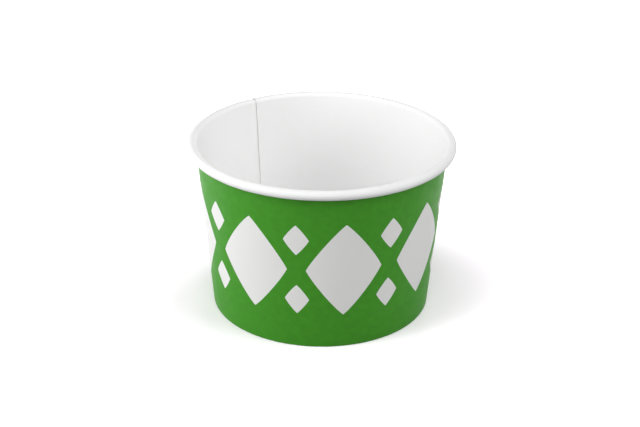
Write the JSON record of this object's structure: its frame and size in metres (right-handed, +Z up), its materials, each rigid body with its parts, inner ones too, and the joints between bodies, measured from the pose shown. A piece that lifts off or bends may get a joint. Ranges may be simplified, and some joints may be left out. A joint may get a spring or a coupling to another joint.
{
  "type": "paper dessert cup",
  "caption": "Round tapered paper dessert cup with a rolled rim, a wrapped and lapped side wall, a folded foot and a recessed base disc",
  "frame": {"origin": "centre of the foot ring, on the surface that the cup stands on", "axes": "+Z is up along the cup's axis of revolution; +X is to the right and -Y towards the viewer in the reference view; the side seam is at azimuth 124.3 degrees from +X"},
  "size_m": [0.09, 0.09, 0.059],
  "materials": {
    "printed_board": "coated cupstock, smooth satin, green print on the outside and white inside",
    "plain_board": "coated white cupstock, smooth satin food side, bare paper underneath"
  },
  "bodies": {
    "root": {"side_wall": "printed_board", "base_disc": "plain_board"}
  },
  "joints": []
}
